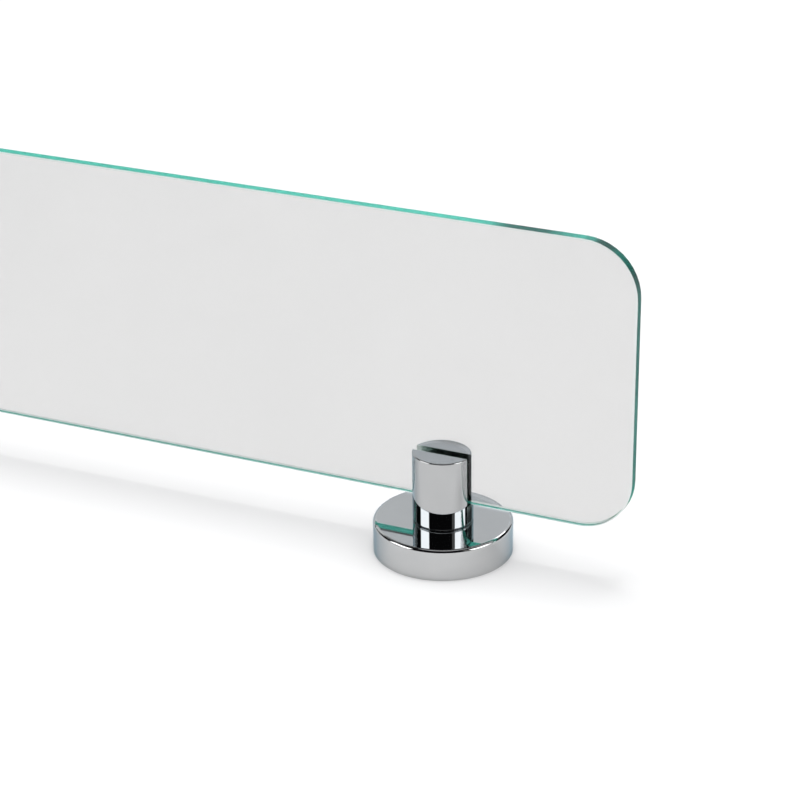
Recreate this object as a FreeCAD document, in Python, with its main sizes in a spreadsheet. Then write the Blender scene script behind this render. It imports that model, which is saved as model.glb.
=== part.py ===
"""Glass wall shelf on two slotted posts, in millimetres.

Frame: +Z is up, X runs along the shelf, and the wall is the plane Y = 0 with the shelf on its -Y side.
The origin is on the wall, midway between the two brackets, level with the middle of the glass.

The pieces of a bracket are drawn about the bracket's own axis, with z going away from the wall and y going up,
and are then stood in place. The screws that point at the glass are drawn along their own axis.
"""
import FreeCAD, Part

import math
import os

import Sketcher

SIZES = {
    # the glass pane
    "shelf_length": 600.0,
    "shelf_depth": 120.0,
    "glass_thickness": 5.0,
    "corner_radius": 22.0,
    "glass_arris": 0.6,
    "glass_setback": 22.9,       # wall to the pane's rear edge
    "bracket_spacing": 440.0,
    # the rosette, a cup with its open side on the wall
    "rosette_diameter": 56.5,
    "rosette_height": 13.4,
    "rosette_wall": 2.6,
    "rosette_cap": 2.2,
    "rosette_round": 1.4,
    # the post that stands on the rosette
    "post_diameter": 24.5,
    "post_reach": 43.3,          # wall to the post's free end
    "post_round": 0.5,
    "post_base_round": 1.0,
    "slot_width": 6.5,
    "slot_floor": 21.7,          # wall to the slot's floor
    "spigot_diameter": 12.0,
    "spigot_length": 2.1,
    "thread_clearance": 0.05,    # radial room round every screw and spigot
    # the clear liner in the slot
    "liner_leg": 0.65,
    "liner_web": 1.1,
    "liner_inset": 0.3,          # the liner's ends lie this far inside the post
    "liner_step": 8.0,           # and its legs stop this far short of the post's end
    "liner_hole_diameter": 5.6,
    # the bolt and washer inside the rosette
    "screw_bevel": 0.5,          # on the ends of the bolt and of the clamp screw
    "bolt_diameter": 6.0,
    "bolt_length": 10.0,
    "bolt_head_diameter": 10.0,
    "bolt_head_height": 4.0,
    "bolt_socket_width": 4.0,
    "bolt_socket_depth": 2.4,
    "bolt_hole_spare": 0.8,      # the tapped hole is this much deeper than the bolt
    "washer_diameter": 18.0,
    "washer_bore": 6.4,
    "washer_thickness": 1.6,
    # the wall plate, a disc with a collar that the rosette's lock screw grips
    "plate_diameter": 50.6,
    "plate_thickness": 3.0,
    "collar_diameter": 47.0,
    "collar_bore": 38.0,
    "collar_height": 8.0,
    "groove_depth": 1.5,
    "wall_hole_spacing": 28.0,
    "wall_hole_diameter": 4.5,
    "wall_hole_countersink": 8.4,
    # the rosette's lock screw
    "lock_height": 5.5,          # wall to the lock screw's axis
    "lock_diameter": 4.0,
    "lock_length": 6.0,
    "lock_tip_gap": 0.05,
    "lock_socket_width": 2.0,
    "lock_socket_depth": 2.0,
    # the clamp screw in the lower jaw, and the pad that it presses on the glass
    "clamp_height": 31.0,        # wall to the clamp screw's axis
    "clamp_diameter": 5.0,
    "clamp_length": 6.0,
    "clamp_socket_width": 2.5,
    "clamp_socket_depth": 2.8,
    "pad_diameter": 4.8,
    "pad_thickness": 2.5,
    "pad_bevel": 0.3,
}

SIDES = {"left": -1, "right": 1}
FULL_TURN = 360.0
PAST_THE_PIECE = 5.0             # how far a cutting outline reaches beyond what it cuts

# the whole bracket is stood up by a quarter turn about X: its z axis then points away from the wall
AWAY_FROM_WALL = FreeCAD.Rotation(FreeCAD.Vector(1, 0, 0), 90)
UPRIGHT = FreeCAD.Rotation()

doc = FreeCAD.newDocument("wall_shelf")


class Length:
    """A length as a number and as the expression that gives it from the sheet."""

    def __init__(self, value, text):
        self.value = value
        self.text = text

    def __add__(self, other):
        other = as_length(other)
        return Length(self.value + other.value, f"({self.text} + {other.text})")

    def __sub__(self, other):
        other = as_length(other)
        return Length(self.value - other.value, f"({self.text} - {other.text})")

    def __mul__(self, factor):
        return Length(self.value * factor, f"({self.text} * {factor:.9f})")

    def __truediv__(self, divisor):
        return Length(self.value / divisor, f"({self.text} / {divisor})")

    def __neg__(self):
        return self * -1


def as_length(number):
    return number if isinstance(number, Length) else Length(float(number), f"{number}")


def make_sheet():
    """Write the driving dimensions into the document's sheet and return them as lengths."""
    sheet = doc.addObject("Spreadsheet::Sheet", "sheet")
    for row, (alias, value) in enumerate(SIZES.items(), start=1):
        sheet.set(f"A{row}", alias)
        sheet.set(f"B{row}", str(value))
        sheet.setAlias(f"B{row}", alias)
    doc.recompute()
    return {alias: Length(value, f"sheet.{alias}") for alias, value in SIZES.items()}


# --- sketches -------------------------------------------------------------------------------------

def new_body(name, rotation, x=0, y=0, z=0):
    """Start a sub-part whose own frame is turned by rotation and moved to x, y, z."""
    body = doc.addObject("PartDesign::Body", name)
    body.Label = name
    place = [as_length(value) for value in (x, y, z)]
    body.Placement = FreeCAD.Placement(FreeCAD.Vector(*[one.value for one in place]), rotation)
    for axis, one in zip("xyz", place):
        body.setExpression(f"Placement.Base.{axis}", one.text)
    return body


def new_sketch(body, name, plane):
    sketch = body.newObject("Sketcher::SketchObject", f"{body.Name}_{name}")
    role = f"{plane}_Plane"
    support = [feature for feature in body.Origin.OriginFeatures if feature.Role == role][0]
    sketch.AttachmentSupport = (support, [""])
    sketch.MapMode = "FlatFace"
    return sketch


def pin_coordinate(sketch, direction, geometry, point, length):
    """Hold one coordinate of a sketch point at a length from the sketch's origin."""
    other_axis = {"DistanceX": -2, "DistanceY": -1}[direction]
    if abs(length.value) < 1e-9:
        sketch.addConstraint(Sketcher.Constraint("PointOnObject", geometry, point, other_axis))
        return
    if length.value > 0:
        constraint = Sketcher.Constraint(direction, -1, 1, geometry, point, length.value)
        text = length.text
    else:
        constraint = Sketcher.Constraint(direction, geometry, point, -1, 1, -length.value)
        text = (-length).text
    index = sketch.addConstraint(constraint)
    sketch.setExpression(f"Constraints[{index}]", text)


def pin_point(sketch, geometry, point, place):
    pin_coordinate(sketch, "DistanceX", geometry, point, place[0])
    pin_coordinate(sketch, "DistanceY", geometry, point, place[1])


def draw_outline(sketch, points):
    """Draw a closed outline of straight lines with every corner held by two lengths."""
    points = [(as_length(x), as_length(y)) for x, y in points]
    corners = [FreeCAD.Vector(x.value, y.value, 0) for x, y in points]
    count = len(corners)
    first = sketch.GeometryCount
    for i in range(count):
        sketch.addGeometry(Part.LineSegment(corners[i], corners[(i + 1) % count]), False)
    for i in range(count):
        following = first + (i + 1) % count
        sketch.addConstraint(Sketcher.Constraint("Coincident", first + i, 2, following, 1))
        pin_point(sketch, first + i, 1, points[i])


def draw_rectangle(sketch, low, high):
    draw_outline(sketch, [low, (high[0], low[1]), high, (low[0], high[1])])


def draw_circle(sketch, centre, radius):
    centre = (as_length(centre[0]), as_length(centre[1]))
    middle = FreeCAD.Vector(centre[0].value, centre[1].value, 0)
    circle = sketch.addGeometry(Part.Circle(middle, FreeCAD.Vector(0, 0, 1), radius.value), False)
    pin_point(sketch, circle, 3, centre)
    index = sketch.addConstraint(Sketcher.Constraint("Radius", circle, radius.value))
    sketch.setExpression(f"Constraints[{index}]", radius.text)


def draw_hexagon(sketch, width):
    """Draw a hexagon of this width across its flats about the sketch's origin."""
    corner_radius = width / (2 * math.cos(math.radians(30)))
    angles = [math.radians(60 * i) for i in range(6)]
    draw_outline(sketch, [(corner_radius * math.cos(a), corner_radius * math.sin(a)) for a in angles])


# --- features -------------------------------------------------------------------------------------

def revolve(body, outline):
    """Turn an outline, drawn as radius and height, into a round solid about z."""
    sketch = new_sketch(body, "profile", "XZ")
    draw_outline(sketch, outline)
    turned = body.newObject("PartDesign::Revolution", f"{body.Name}_turned")
    turned.Profile = sketch
    turned.ReferenceAxis = (sketch, ["V_Axis"])
    turned.Angle = FULL_TURN
    sketch.Visibility = False
    doc.recompute()
    return turned


def pad(body, sketch, length, midplane=False):
    raised = body.newObject("PartDesign::Pad", f"{sketch.Name}_pad")
    raised.Profile = sketch
    raised.Midplane = midplane
    raised.setExpression("Length", as_length(length).text)
    doc.recompute()
    return raised


def pocket(body, sketch, depth=None, towards_normal=False):
    """Cut a sketch's outline out of a body: to a depth on one side, or all the way both ways."""
    before = body.Shape.Volume
    cut = body.newObject("PartDesign::Pocket", f"{sketch.Name}_cut")
    cut.Profile = sketch
    if depth is None:
        cut.Type = "ThroughAll"
        cut.Midplane = True
    else:
        cut.Reversed = towards_normal
        cut.setExpression("Length", as_length(depth).text)
    doc.recompute()
    if not body.Shape.Volume < before - 1e-6:
        raise RuntimeError(f"{cut.Name} cuts nothing")
    return cut


def circles_of(feature, radius, height):
    """Names of a feature's round edges that have this radius and lie at this height."""
    found = []
    for number, edge in enumerate(feature.Shape.Edges, start=1):
        round_edge = isinstance(edge.Curve, Part.Circle) and abs(edge.Curve.Radius - radius.value) < 1e-6
        if round_edge and abs(edge.BoundBox.ZMin - height.value) < 1e-6 and edge.BoundBox.ZLength < 1e-6:
            found.append(f"Edge{number}")
    return found


def dress(body, kind, feature, edges, size_name, size):
    """Add a fillet or a chamfer on named edges of a body's last feature."""
    if not edges:
        raise RuntimeError(f"{body.Name}: no edge for its {kind}")
    dressed = body.newObject(f"PartDesign::{kind}", f"{feature.Name}_{kind.lower()}")
    dressed.Base = (feature, edges)
    dressed.setExpression(size_name, size.text)
    doc.recompute()
    return dressed


def fillet(body, feature, edges, radius):
    return dress(body, "Fillet", feature, edges, "Radius", radius)


def chamfer(body, feature, edges, size):
    return dress(body, "Chamfer", feature, edges, "Size", size)


def cut_socket(body, width, depth):
    """Cut a hexagon socket into the end of a screw that lies at z = 0."""
    sketch = new_sketch(body, "socket", "XY")
    draw_hexagon(sketch, width)
    pocket(body, sketch, depth, towards_normal=True)


# --- sub-parts ------------------------------------------------------------------------------------

def make_glass(d):
    """The pane: a ground plate with round corners and a small arris on every edge."""
    body = new_body("glass_shelf", UPRIGHT, y=-(d["glass_setback"] + d["shelf_depth"] / 2))
    sketch = new_sketch(body, "outline", "XY")
    half = (d["shelf_length"] / 2, d["shelf_depth"] / 2)
    draw_rectangle(sketch, (-half[0], -half[1]), half)
    plate = pad(body, sketch, d["glass_thickness"], midplane=True)
    corners = [f"Edge{i}" for i, edge in enumerate(plate.Shape.Edges, start=1)
               if edge.BoundBox.ZLength > d["glass_thickness"].value / 2]
    rounded = fillet(body, plate, corners, d["corner_radius"])
    rims = [f"Edge{i}" for i, edge in enumerate(rounded.Shape.Edges, start=1)
            if edge.BoundBox.ZLength < 1e-6]
    chamfer(body, rounded, rims, d["glass_arris"])
    return body


def make_rosette(side, x, d):
    """The cup that covers the wall plate, with the lock screw's tapped hole in its underside."""
    body = new_body(f"rosette_{side}", AWAY_FROM_WALL, x)
    outer = d["rosette_diameter"] / 2
    inner = outer - d["rosette_wall"]
    hole = d["spigot_diameter"] / 2 + d["thread_clearance"]
    top = d["rosette_height"]
    ceiling = top - d["rosette_cap"]
    turned = revolve(body, [(hole, ceiling), (inner, ceiling), (inner, 0), (outer, 0), (outer, top), (hole, top)])
    fillet(body, turned, circles_of(turned, outer, top), d["rosette_round"])
    drill = new_sketch(body, "lock_hole", "XZ")
    draw_circle(drill, (0, d["lock_height"]), d["lock_diameter"] / 2 + d["thread_clearance"])
    pocket(body, drill, d["rosette_diameter"], towards_normal=True)
    return body


def make_post(side, x, d):
    """The slotted post, with a spigot in the rosette, a tapped hole for its bolt and one for the clamp screw."""
    body = new_body(f"post_{side}", AWAY_FROM_WALL, x)
    radius = d["post_diameter"] / 2
    base = d["rosette_height"]
    end = d["post_reach"]
    spigot = d["spigot_diameter"] / 2
    spigot_end = base - d["spigot_length"]
    thread = d["bolt_diameter"] / 2 + d["thread_clearance"]
    bolt_seat = base - d["rosette_cap"] - d["washer_thickness"]
    thread_end = bolt_seat + d["bolt_length"] + d["bolt_hole_spare"]
    turned = revolve(body, [
        (thread, spigot_end), (spigot, spigot_end), (spigot, base), (radius, base), (radius, end),
        (0, end), (0, thread_end), (thread, thread_end)])
    eased = fillet(body, turned, circles_of(turned, radius, end), d["post_round"])
    fillet(body, eased, circles_of(eased, radius, base), d["post_base_round"])
    slot = new_sketch(body, "slot", "YZ")
    half = d["slot_width"] / 2
    draw_rectangle(slot, (-half, d["slot_floor"]), (half, end + PAST_THE_PIECE))
    pocket(body, slot)
    drill = new_sketch(body, "clamp_hole", "XZ")
    draw_circle(drill, (0, d["clamp_height"]), d["clamp_diameter"] / 2 + d["thread_clearance"])
    pocket(body, drill, d["post_diameter"], towards_normal=True)
    return body


def make_slot_liner(side, x, d):
    """The clear U in the slot, with round ends like the post and a hole that lets the pad through."""
    body = new_body(f"slot_liner_{side}", AWAY_FROM_WALL, x)
    outer = d["slot_width"] / 2
    inner = outer - d["liner_leg"]
    bottom = d["slot_floor"]
    web = bottom + d["liner_web"]
    top = d["post_reach"] - d["liner_step"]
    profile = new_sketch(body, "profile", "YZ")
    draw_outline(profile, [
        (-outer, bottom), (outer, bottom), (outer, top), (inner, top),
        (inner, web), (-inner, web), (-inner, top), (-outer, top)])
    pad(body, profile, d["post_diameter"], midplane=True)
    trim = new_sketch(body, "round_ends", "XY")
    draw_circle(trim, (0, 0), d["post_diameter"] / 2 - d["liner_inset"])
    draw_circle(trim, (0, 0), d["post_diameter"])
    pocket(body, trim)
    drill = new_sketch(body, "pad_hole", "XZ")
    draw_circle(drill, (0, d["clamp_height"]), d["liner_hole_diameter"] / 2)
    pocket(body, drill, d["post_diameter"], towards_normal=True)
    return body


def make_wall_plate(side, x, d):
    """The plate that is screwed to the wall, with a grooved collar for the lock screw's point."""
    body = new_body(f"wall_plate_{side}", AWAY_FROM_WALL, x)
    rim = d["plate_diameter"] / 2
    floor = d["plate_thickness"]
    collar = d["collar_diameter"] / 2
    bore = d["collar_bore"] / 2
    top = d["collar_height"]
    groove = d["lock_height"]
    depth = d["groove_depth"]
    turned = revolve(body, [
        (0, 0), (rim, 0), (rim, floor), (collar, floor), (collar, groove - depth), (collar - depth, groove),
        (collar, groove + depth), (collar, top), (bore, top), (bore, floor), (0, floor)])
    holes = new_sketch(body, "wall_holes", "XY")
    holes.setExpression("AttachmentOffset.Base.z", floor.text)
    for up in (-1, 1):
        draw_circle(holes, (0, d["wall_hole_spacing"] / 2 * up), d["wall_hole_diameter"] / 2)
    doc.recompute()
    drilled = body.newObject("PartDesign::Hole", f"{body.Name}_drilled")
    drilled.Profile = holes
    doc.recompute()
    drilled.DepthType = "ThroughAll"
    drilled.HoleCutType = "Countersink"
    drilled.HoleCutCustomValues = True
    drilled.HoleCutCountersinkAngle = 90
    drilled.setExpression("Diameter", d["wall_hole_diameter"].text)
    drilled.setExpression("HoleCutDiameter", d["wall_hole_countersink"].text)
    doc.recompute()
    if not drilled.Shape.Volume < turned.Shape.Volume - 1e-6:
        raise RuntimeError(f"{drilled.Name} drills nothing")
    return body


def make_post_bolt(side, x, d):
    """The socket-head bolt that pulls the post on to the rosette from inside."""
    head_seat = d["rosette_height"] - d["rosette_cap"] - d["washer_thickness"]
    body = new_body(f"post_bolt_{side}", AWAY_FROM_WALL, x, y=-(head_seat - d["bolt_head_height"]))
    head = d["bolt_head_diameter"] / 2
    shank = d["bolt_diameter"] / 2
    seat = d["bolt_head_height"]
    end = seat + d["bolt_length"]
    turned = revolve(body, [(0, 0), (head, 0), (head, seat), (shank, seat), (shank, end), (0, end)])
    rims = circles_of(turned, head, as_length(0)) + circles_of(turned, shank, end)
    chamfer(body, turned, rims, d["screw_bevel"])
    cut_socket(body, d["bolt_socket_width"], d["bolt_socket_depth"])
    return body


def make_post_washer(side, x, d):
    """The flat washer between the bolt's head and the rosette."""
    under = d["rosette_height"] - d["rosette_cap"] - d["washer_thickness"]
    body = new_body(f"post_washer_{side}", AWAY_FROM_WALL, x, y=-under)
    ring = new_sketch(body, "ring", "XY")
    draw_circle(ring, (0, 0), d["washer_diameter"] / 2)
    draw_circle(ring, (0, 0), d["washer_bore"] / 2)
    pad(body, ring, d["washer_thickness"])
    return body


def make_lock_screw(side, x, d):
    """The cone-point grub screw in the rosette's underside, with its point in the wall plate's groove."""
    point = d["collar_diameter"] / 2 - d["groove_depth"] + d["lock_tip_gap"]
    body = new_body(f"rosette_lock_screw_{side}", UPRIGHT, x, -d["lock_height"], -(point + d["lock_length"]))
    radius = d["lock_diameter"] / 2
    length = d["lock_length"]
    revolve(body, [(0, 0), (radius, 0), (radius, length - radius), (0, length)])
    cut_socket(body, d["lock_socket_width"], d["lock_socket_depth"])
    return body


def pad_back(d):
    """Height below the glass's middle of the pad's back, where the clamp screw's end presses."""
    return d["glass_thickness"] / 2 + d["pad_thickness"]


def make_clamp_screw(side, x, d):
    """The grub screw in the post's lower jaw."""
    start = pad_back(d) + d["clamp_length"]
    body = new_body(f"clamp_screw_{side}", UPRIGHT, x, -d["clamp_height"], -start)
    radius = d["clamp_diameter"] / 2
    length = d["clamp_length"]
    turned = revolve(body, [(0, 0), (radius, 0), (radius, length), (0, length)])
    rims = circles_of(turned, radius, as_length(0)) + circles_of(turned, radius, length)
    chamfer(body, turned, rims, d["screw_bevel"])
    cut_socket(body, d["clamp_socket_width"], d["clamp_socket_depth"])
    return body


def make_clamp_pad(side, x, d):
    """The nylon pad that the clamp screw presses on the pane's underside."""
    body = new_body(f"clamp_pad_{side}", UPRIGHT, x, -d["clamp_height"], -pad_back(d))
    disc = new_sketch(body, "disc", "XY")
    radius = d["pad_diameter"] / 2
    draw_circle(disc, (0, 0), radius)
    raised = pad(body, disc, d["pad_thickness"])
    chamfer(body, raised, circles_of(raised, radius, d["pad_thickness"]), d["pad_bevel"])
    return body


def make_parts(d):
    makers = (make_rosette, make_post, make_slot_liner, make_wall_plate, make_post_bolt,
              make_post_washer, make_lock_screw, make_clamp_screw, make_clamp_pad)
    parts = [make_glass(d)]
    for side, sign in SIDES.items():
        x = d["bracket_spacing"] / 2 * sign
        parts += [make(side, x, d) for make in makers]
    return parts


def check(parts):
    """Stop before anything is written if a feature failed or a sub-part has no valid solid."""
    for item in doc.Objects:
        if "Invalid" in item.State or "Error" in item.State:
            raise RuntimeError(f"{item.Name} failed: {item.State}")
    for body in parts:
        shape = body.Shape
        if shape.isNull() or not shape.isValid() or len(shape.Solids) != 1:
            raise RuntimeError(f"{body.Label} is not one valid solid")


def main():
    parts = make_parts(make_sheet())
    doc.recompute()
    check(parts)
    os.makedirs("parts", exist_ok=True)
    for body in parts:
        body.Shape.exportStep(f"parts/{body.Label}.step")
        box = body.Shape.BoundBox
        print(f"{body.Label}: {box.XLength:.2f} x {box.YLength:.2f} x {box.ZLength:.2f} mm, "
              f"{body.Shape.Volume:.1f} mm3")


main()
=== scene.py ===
"""Glass wall shelf on two slotted chrome posts: materials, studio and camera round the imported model.

Metres, in the model's own frame: +Z is up, X runs along the shelf, the wall is y = 0 and the shelf is in
front of it, at y < 0. The studio is laid out with the wall as its floor, because the shelf is shown standing
on its rosettes.
"""
import math

import bpy
from mathutils import Matrix, Vector


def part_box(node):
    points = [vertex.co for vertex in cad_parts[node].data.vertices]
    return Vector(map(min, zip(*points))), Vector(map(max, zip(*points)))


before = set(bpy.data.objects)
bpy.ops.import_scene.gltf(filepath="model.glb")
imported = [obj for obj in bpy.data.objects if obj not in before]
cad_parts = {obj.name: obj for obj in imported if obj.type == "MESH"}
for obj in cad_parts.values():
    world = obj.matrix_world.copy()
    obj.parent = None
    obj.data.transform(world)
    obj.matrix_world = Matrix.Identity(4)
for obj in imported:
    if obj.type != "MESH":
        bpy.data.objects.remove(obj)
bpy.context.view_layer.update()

MM = 0.001
SIDES = ("left", "right")

# --- driving values -------------------------------------------------------------------------------

CAMERA_AZIMUTH = 24.62                        # degrees from straight in front of the pane, to its right
CAMERA_ELEVATION = 25.12
CAMERA_ROLL = -0.753
CAMERA_LENS = 110.49                          # mm, on a film 36 mm wide
CAMERA_DISTANCE = 0.9734
CAMERA_TARGET = (-0.01837, 0.0, 0.06223)      # across, away and height, from the left bracket's foot

CHROME_GRAZING = (0.48, 0.60, 0.67, 1.0)      # how the plating turns bluish where it is seen edge on
ROSETTE_DARK, ROSETTE_LIGHT = (0.500, 0.505, 0.509), (0.531, 0.535, 0.537)
# painted shade: the post's chrome is set darker than the rosette's, so the same plating looks darker on the
# post
POST_SHADED_DARK, POST_SHADED_LIGHT = (0.450, 0.455, 0.460), (0.477, 0.482, 0.485)
# painted light: the slot faces are coloured brighter and green for the light that reaches them through the
# glass
SLOT_PAINTED_GREEN_DARK, SLOT_PAINTED_GREEN_LIGHT = (0.64, 0.75, 0.72), (0.70, 0.80, 0.77)
SLOT_MARGIN = 0.05 * MM                       # the satin ends this far outside the liner, and fades as far

GLASS_IOR = 1.52
# painted shade: the faces are darkened so that what shows through them looks like a greyer backdrop
GLASS_PAINTED_SHADE_DARK, GLASS_PAINTED_SHADE_LIGHT = (0.728, 0.703, 0.703), (0.744, 0.717, 0.717)
GLASS_FLAT = (0.85, 0.98, 0.95)               # the middle of the ground edge
GLASS_ARRIS = (0.76, 0.80, 0.79)              # and the small bevels along it
GLASS_EDGE_FILM = (0.72, 0.93, 0.90, 1.0)     # tints what passes the flat of the ground edge
GLASS_BODY = (0.40, 0.99, 0.92, 1.0)          # the glass takes up red, most where light runs far in it
GLASS_DENSITY = 10.0

FLOOR_SIZE = 8.0
FLOOR_DEPTH = -0.05 * MM                      # just inside the wall plates, whose backs stay in the light
FLOOR_DARK, FLOOR_LIGHT = (0.897, 0.897, 0.897), (0.903, 0.903, 0.903)
WORLD_COLOR = (0.725, 0.727, 0.733)
LAMP_PLACE = (0.0, 0.12, 3.0)                 # across, away and height, from the left bracket's foot
LAMP_SIZE = 1.08
LAMP_POWER = 43.0

BLACK = (0.008, 0.008, 0.009)                 # for the cards round the object
BRIGHT = (4.0, 4.0, 4.0)
CARD_STEP = 7.5                               # degrees between the rows and columns of a curved card
MIRRORED_CARDS = (                            # name, azimuths and elevations in degrees, distance, colour
    ("dark_surround", (-140.0, 140.0), (6.0, 90.0), 3.5, BLACK),
    ("overhead_softbox", (-180.0, 180.0), (71.0, 90.0), 3.2, (0.55, 0.55, 0.56)),
    ("side_softbox", (80.0, 120.0), (36.0, 60.0), 3.2, (0.85, 0.85, 0.86)),
    ("dark_ceiling", (140.0, 220.0), (60.0, 90.0), 3.5, BLACK),
    ("far_softbox", (140.0, 220.0), (36.0, 60.0), 3.3, BRIGHT),
    ("pale_surround", (140.0, 220.0), (0.0, 36.0), 3.6, (0.865, 0.868, 0.875)),
    ("left_softbox", (-94.0, -56.0), (14.0, 40.0), 3.3, BRIGHT),
    ("right_softbox", (44.0, 90.0), (14.0, 40.0), 3.3, BRIGHT),
    ("grey_strip", (33.0, 42.0), (0.0, 46.0), 3.3, (0.25, 0.25, 0.24)),
)
# Seen through glass only: it makes the arris of the pane's rear edge dark in the rosette.
REFRACTED_CARD = ("dark_sky", (150.0, 210.0), (42.0, 90.0), 3.55, BLACK)
BACKDROP_AWAY = 0.3
BACKDROP_ACROSS = (-0.25, -0.02)
BACKDROP_CARDS = (                            # name, heights and colour
    ("high_backdrop", (0.199, 0.27), (1.26, 1.28, 1.31)),
    ("low_backdrop", (0.150, 0.1755), (1.15, 1.19, 1.22)),
)

GLASS_BOUNCES = 160                           # light runs along inside the pane to colour its edges
MIRROR_BOUNCES = 24

# --- places ---------------------------------------------------------------------------------------

post_low, post_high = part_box("post_left")
BRACKET = Vector(((post_low.x + post_high.x) / 2, 0.0, (post_low.z + post_high.z) / 2))
liner_low, liner_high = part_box("slot_liner_left")
SLOT_HALF = (liner_high.z - liner_low.z) / 2


def studio(across, away, height):
    """A direction of the studio, whose floor is the wall, in the model's frame."""
    return Vector((-across, -height, -away))


def around(azimuth, elevation):
    """Unit direction from the bracket at these degrees, with azimuth 0 on the camera's side."""
    turn = math.radians(CAMERA_AZIMUTH + azimuth)
    lift = math.radians(elevation)
    return studio(math.sin(turn) * math.cos(lift), -math.cos(turn) * math.cos(lift), math.sin(lift))


# --- camera ---------------------------------------------------------------------------------------


def make_camera():
    data = bpy.data.cameras.new("camera")
    data.lens = CAMERA_LENS
    data.sensor_width = 36.0
    data.clip_start, data.clip_end = 0.01, 100.0
    camera = bpy.data.objects.new("camera", data)
    bpy.context.scene.collection.objects.link(camera)
    back = around(0.0, CAMERA_ELEVATION)
    turn = math.radians(CAMERA_AZIMUTH)
    level = studio(math.cos(turn), math.sin(turn), 0.0)
    over = back.cross(level)
    roll = math.radians(CAMERA_ROLL)
    right = level * math.cos(roll) + over * math.sin(roll)
    up = over * math.cos(roll) - level * math.sin(roll)
    place = BRACKET + studio(*CAMERA_TARGET) + back * CAMERA_DISTANCE
    camera.matrix_world = Matrix((
        (right.x, up.x, back.x, place.x),
        (right.y, up.y, back.y, place.y),
        (right.z, up.z, back.z, place.z),
        (0.0, 0.0, 0.0, 1.0)))
    bpy.context.scene.camera = camera


# --- material nodes -------------------------------------------------------------------------------


def new_material(name):
    material = bpy.data.materials.new(name)
    material.use_nodes = True
    return material, material.node_tree.nodes, material.node_tree.links


def texture_place(nodes, links, stretch=(1.0, 1.0, 1.0)):
    """Object coordinates, stretched, for the textures of one material."""
    place = nodes.new("ShaderNodeTexCoord")
    scale = nodes.new("ShaderNodeMapping")
    scale.inputs["Scale"].default_value = stretch
    links.new(place.outputs["Object"], scale.inputs["Vector"])
    return scale.outputs["Vector"]


def noise(nodes, links, place, scale, detail=4.0, roughness=0.55):
    cloud = nodes.new("ShaderNodeTexNoise")
    cloud.inputs["Scale"].default_value = scale
    cloud.inputs["Detail"].default_value = detail
    cloud.inputs["Roughness"].default_value = roughness
    links.new(place, cloud.inputs["Vector"])
    return cloud.outputs["Fac"]


def spread(nodes, links, value, low, high, start=0.3, end=0.7):
    """Map a value's range from start to end, by default a texture's middle, on to low..high."""
    remap = nodes.new("ShaderNodeMapRange")
    remap.inputs["From Min"].default_value = start
    remap.inputs["From Max"].default_value = end
    remap.inputs["To Min"].default_value = low
    remap.inputs["To Max"].default_value = high
    links.new(value, remap.inputs["Value"])
    return remap.outputs["Result"]


def tint(nodes, links, value, dark, light):
    """Blend two colours over the same middle range of a value."""
    ramp = nodes.new("ShaderNodeValToRGB")
    ramp.color_ramp.elements[0].position, ramp.color_ramp.elements[1].position = 0.3, 0.7
    ramp.color_ramp.elements[0].color = (*dark, 1.0)
    ramp.color_ramp.elements[1].color = (*light, 1.0)
    links.new(value, ramp.inputs["Fac"])
    return ramp.outputs["Color"]


def blend(nodes, links, amount, outside, inside, kind="FLOAT"):
    """Go from one value or colour to another by a mask."""
    mix = nodes.new("ShaderNodeMix")
    mix.data_type = kind
    links.new(amount, mix.inputs["Factor"])
    links.new(outside, next(socket for socket in mix.inputs if socket.name == "A" and socket.enabled))
    links.new(inside, next(socket for socket in mix.inputs if socket.name == "B" and socket.enabled))
    return next(socket for socket in mix.outputs if socket.enabled)


def upright_part(nodes, links, vector):
    """Size of the Z part of one of the surface's own vectors, such as its position or its true normal."""
    split = nodes.new("ShaderNodeSeparateXYZ")
    links.new(nodes.new("ShaderNodeNewGeometry").outputs[vector], split.inputs["Vector"])
    size = nodes.new("ShaderNodeMath")
    size.operation = "ABSOLUTE"
    links.new(split.outputs["Z"], size.inputs[0])
    return size.outputs["Value"]


def bump(nodes, links, shader, height, depth, strength=1.0):
    relief = nodes.new("ShaderNodeBump")
    relief.inputs["Distance"].default_value = depth
    relief.inputs["Strength"].default_value = strength
    links.new(height, relief.inputs["Height"])
    links.new(relief.outputs["Normal"], shader.inputs["Normal"])


# --- materials ------------------------------------------------------------------------------------


def chrome_material(name, dark, light, slot_half=None):
    """Polished chrome plate: faint patches of tone, and wiping marks that only change its gloss.

    The faces of a slot, this far from the shelf's middle plane, are satin, and their colour is painted
    light: brighter and green, for the light that comes into the slot through the glass.
    """
    material, nodes, links = new_material(name)
    shader = nodes["Principled BSDF"]
    shader.inputs["Metallic"].default_value = 1.0
    shader.inputs["Specular Tint"].default_value = CHROME_GRAZING
    patches = noise(nodes, links, texture_place(nodes, links), scale=60.0)
    marks = noise(nodes, links, texture_place(nodes, links, (1.0, 0.08, 1.0)), scale=900.0, detail=6.0)
    color = tint(nodes, links, patches, dark, light)
    gloss = spread(nodes, links, marks, 0.012, 0.035)
    if slot_half is not None:
        off_middle = upright_part(nodes, links, "Position")
        edge = slot_half + SLOT_MARGIN
        in_slot = spread(nodes, links, off_middle, 1.0, 0.0, start=edge, end=edge + SLOT_MARGIN)
        # painted light: brighter, green colour for the light that comes into the slot through the glass
        painted_slot_light = tint(nodes, links, patches, SLOT_PAINTED_GREEN_DARK, SLOT_PAINTED_GREEN_LIGHT)
        color = blend(nodes, links, in_slot, color, painted_slot_light, "RGBA")
        gloss = blend(nodes, links, in_slot, gloss, spread(nodes, links, marks, 0.16, 0.24))
    links.new(color, shader.inputs["Base Color"])
    links.new(gloss, shader.inputs["Roughness"])
    return material


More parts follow.
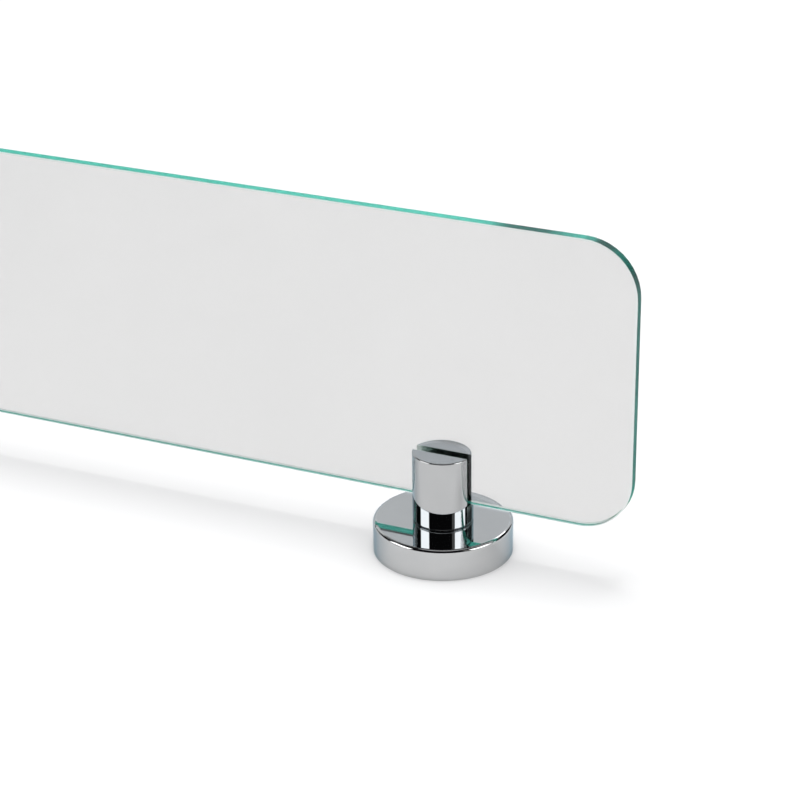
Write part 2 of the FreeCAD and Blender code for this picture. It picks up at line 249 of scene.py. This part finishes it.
def steel_material(name, dark, light, roughness, grain_scale):
    """Plated steel: a fine even grain, and patches of tone in its plating."""
    material, nodes, links = new_material(name)
    shader = nodes["Principled BSDF"]
    shader.inputs["Metallic"].default_value = 1.0
    place = texture_place(nodes, links)
    patches = noise(nodes, links, place, scale=260.0, detail=5.0)
    links.new(tint(nodes, links, patches, dark, light), shader.inputs["Base Color"])
    grain = noise(nodes, links, place, grain_scale, detail=3.0)
    links.new(spread(nodes, links, grain, roughness * 0.75, roughness * 1.25), shader.inputs["Roughness"])
    bump(nodes, links, shader, grain, 0.03 * MM, strength=0.6)
    return material


def glass_material():
    """Float glass: clear faces with faint dust in their gloss, their colour darkened in faint patches by
    painted shade, as if a greyer backdrop showed through them, and edges that are ground and green.
    """
    material, nodes, links = new_material("float_glass")
    shader = nodes["Principled BSDF"]
    shader.inputs["Transmission Weight"].default_value = 1.0
    shader.inputs["IOR"].default_value = GLASS_IOR
    place = texture_place(nodes, links)
    shade_patches = noise(nodes, links, place, scale=9.0, detail=3.0)
    # painted shade: darkened face colour, varied in faint patches
    faces = tint(nodes, links, shade_patches, GLASS_PAINTED_SHADE_DARK, GLASS_PAINTED_SHADE_LIGHT)
    flatness = upright_part(nodes, links, "True Normal")
    is_face = spread(nodes, links, flatness, 0.0, 1.0, start=0.90, end=0.95)
    edges = tint(nodes, links, flatness, GLASS_FLAT, GLASS_ARRIS)
    links.new(blend(nodes, links, is_face, edges, faces, "RGBA"), shader.inputs["Base Color"])
    dust = noise(nodes, links, place, scale=700.0, detail=5.0)
    marks = spread(nodes, links, dust, 0.0, 0.006, start=0.55, end=0.75)
    grinding = spread(nodes, links, noise(nodes, links, place, scale=3500.0, detail=2.0), 0.19, 0.25)
    links.new(blend(nodes, links, is_face, grinding, marks), shader.inputs["Roughness"])
    links.new(spread(nodes, links, flatness, 1.0, 0.0, start=0.3, end=0.5), shader.inputs["Coat Weight"])
    shader.inputs["Coat Roughness"].default_value = 0.0
    shader.inputs["Coat IOR"].default_value = 1.0
    shader.inputs["Coat Tint"].default_value = GLASS_EDGE_FILM
    body = nodes.new("ShaderNodeVolumeAbsorption")
    body.inputs["Color"].default_value = GLASS_BODY
    body.inputs["Density"].default_value = GLASS_DENSITY
    links.new(body.outputs["Volume"], nodes["Material Output"].inputs["Volume"])
    return material


def liner_material():
    """Clear soft plastic with a faint haze in patches."""
    material, nodes, links = new_material("liner")
    shader = nodes["Principled BSDF"]
    shader.inputs["Transmission Weight"].default_value = 1.0
    shader.inputs["IOR"].default_value = 1.45
    haze = noise(nodes, links, texture_place(nodes, links), scale=180.0)
    links.new(tint(nodes, links, haze, (0.93, 0.95, 0.94), (0.97, 0.98, 0.975)), shader.inputs["Base Color"])
    links.new(spread(nodes, links, haze, 0.0, 0.04), shader.inputs["Roughness"])
    return material


def nylon_material():
    """Natural nylon: milky, with the grain of a moulded piece."""
    material, nodes, links = new_material("nylon")
    shader = nodes["Principled BSDF"]
    place = texture_place(nodes, links)
    cloud = noise(nodes, links, place, scale=500.0)
    links.new(tint(nodes, links, cloud, (0.76, 0.74, 0.67), (0.86, 0.85, 0.80)), shader.inputs["Base Color"])
    grain = noise(nodes, links, place, scale=4000.0, detail=2.0)
    links.new(spread(nodes, links, grain, 0.35, 0.55), shader.inputs["Roughness"])
    bump(nodes, links, shader, grain, 0.02 * MM)
    return material


def dress(node, material):
    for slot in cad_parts[node].material_slots:
        slot.material = material


def dress_shelf():
    """Give every piece of the shelf its material."""
    chrome = chrome_material("chrome", ROSETTE_DARK, ROSETTE_LIGHT)
    slotted_chrome = chrome_material("slotted_chrome", POST_SHADED_DARK, POST_SHADED_LIGHT, SLOT_HALF)
    plate_steel = steel_material("plate_steel", (0.50, 0.50, 0.49), (0.62, 0.61, 0.58), 0.32, 900.0)
    bolt_steel = steel_material("bolt_steel", (0.55, 0.54, 0.51), (0.66, 0.65, 0.61), 0.26, 1500.0)
    screw_steel = steel_material("screw_steel", (0.36, 0.36, 0.37), (0.48, 0.48, 0.48), 0.22, 2200.0)
    nylon = nylon_material()
    liner = liner_material()
    dress("glass_shelf", glass_material())
    for side in SIDES:
        dress(f"rosette_{side}", chrome)
        dress(f"post_{side}", slotted_chrome)
        dress(f"slot_liner_{side}", liner)
        dress(f"clamp_pad_{side}", nylon)
        dress(f"wall_plate_{side}", plate_steel)
        dress(f"post_bolt_{side}", bolt_steel)
        dress(f"post_washer_{side}", bolt_steel)
        dress(f"rosette_lock_screw_{side}", screw_steel)
        dress(f"clamp_screw_{side}", screw_steel)


# --- studio ---------------------------------------------------------------------------------------


def make_floor():
    """The pale surface that the shelf stands on. It is the wall, and it can be seen through from behind."""
    material, nodes, links = new_material("pale_floor")
    paint = nodes["Principled BSDF"]
    paint.inputs["Roughness"].default_value = 1.0
    paint.inputs["Specular IOR Level"].default_value = 0.0
    cloud = noise(nodes, links, texture_place(nodes, links), scale=14.0)
    links.new(tint(nodes, links, cloud, FLOOR_DARK, FLOOR_LIGHT), paint.inputs["Base Color"])
    clear = nodes.new("ShaderNodeBsdfTransparent")
    facing = nodes.new("ShaderNodeNewGeometry")
    mix = nodes.new("ShaderNodeMixShader")
    links.new(facing.outputs["Backfacing"], mix.inputs["Fac"])
    links.new(paint.outputs["BSDF"], mix.inputs[1])
    links.new(clear.outputs["BSDF"], mix.inputs[2])
    links.new(mix.outputs["Shader"], nodes["Material Output"].inputs["Surface"])
    half = FLOOR_SIZE / 2
    corners = ((-half, -half), (half, -half), (half, half), (-half, half))
    mesh = bpy.data.meshes.new("floor")
    mesh.from_pydata([(x, FLOOR_DEPTH, z) for x, z in corners], [], [(0, 1, 2, 3)])
    mesh.materials.append(material)
    floor = bpy.data.objects.new("floor", mesh)
    bpy.context.scene.collection.objects.link(floor)


def make_world(color):
    world = bpy.data.worlds.new("world")
    bpy.context.scene.world = world
    world.use_nodes = True
    world.node_tree.nodes["Background"].inputs["Color"].default_value = (*color, 1.0)


def make_overhead_light(place, size, power):
    """The lamp over the shelf: it shapes the floor's shadows but shows in no mirror and through no glass."""
    data = bpy.data.lights.new("overhead", "AREA")
    data.shape = "SQUARE"
    data.size = size
    data.energy = power
    lamp = bpy.data.objects.new("overhead", data)
    lamp.location = BRACKET + studio(*place)
    lamp.rotation_mode = "QUATERNION"
    lamp.rotation_quaternion = studio(0, 0, 1).to_track_quat("Z", "Y")
    bpy.context.scene.collection.objects.link(lamp)
    lamp.visible_camera = False
    lamp.visible_glossy = False
    lamp.visible_transmission = False


def glow_material(name, color):
    material, nodes, links = new_material(name)
    nodes.remove(nodes["Principled BSDF"])
    glow = nodes.new("ShaderNodeEmission")
    glow.inputs["Color"].default_value = (*color, 1.0)
    links.new(glow.outputs["Emission"], nodes["Material Output"].inputs["Surface"])
    return material


def make_card(name, points, faces, color, in_mirrors, through_glass):
    """A glowing card that is seen in mirrors, through glass or both: it lights nothing."""
    mesh = bpy.data.meshes.new(name)
    mesh.from_pydata([tuple(BRACKET + point) for point in points], [], faces)
    mesh.materials.append(glow_material(name, color))
    card = bpy.data.objects.new(name, mesh)
    bpy.context.scene.collection.objects.link(card)
    card.visible_camera = False
    card.visible_diffuse = False
    card.visible_glossy = in_mirrors
    card.visible_transmission = through_glass
    card.visible_shadow = False


def curved_card(name, azimuths, elevations, distance, color, in_mirrors=True, through_glass=False):
    """A curved card round the bracket that shapes reflections or refractions."""
    columns = max(1, round((azimuths[1] - azimuths[0]) / CARD_STEP))
    rows = max(1, round((elevations[1] - elevations[0]) / CARD_STEP))
    points, faces = [], []
    for i in range(columns + 1):
        azimuth = azimuths[0] + (azimuths[1] - azimuths[0]) * i / columns
        for j in range(rows + 1):
            elevation = elevations[0] + (elevations[1] - elevations[0]) * j / rows
            points.append(around(azimuth, elevation) * distance)
            if i and j:
                here = i * (rows + 1) + j
                faces.append((here, here - 1, here - rows - 2, here - rows - 1))
    make_card(name, points, faces, color, in_mirrors, through_glass)


def backdrop_card(name, heights, color):
    """A flat card behind the pane and parallel to it, for the chrome's flat tops."""
    left, right = BACKDROP_ACROSS
    low, high = heights
    corners = ((left, low), (right, low), (right, high), (left, high))
    points = [studio(across, BACKDROP_AWAY, height) for across, height in corners]
    make_card(name, points, [(0, 1, 2, 3)], color, in_mirrors=True, through_glass=True)


# --- build ----------------------------------------------------------------------------------------

make_camera()
dress_shelf()
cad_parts["glass_shelf"].visible_diffuse = False    # the pane shades the floor from the lamp alone
make_floor()
make_world(WORLD_COLOR)
make_overhead_light(LAMP_PLACE, LAMP_SIZE, LAMP_POWER)
for card in MIRRORED_CARDS:
    curved_card(*card)
curved_card(*REFRACTED_CARD, in_mirrors=False, through_glass=True)
for card in BACKDROP_CARDS:
    backdrop_card(*card)

scene = bpy.context.scene
scene.view_settings.view_transform = "Standard"
scene.cycles.max_bounces = GLASS_BOUNCES
scene.cycles.transmission_bounces = GLASS_BOUNCES
scene.cycles.glossy_bounces = MIRROR_BOUNCES
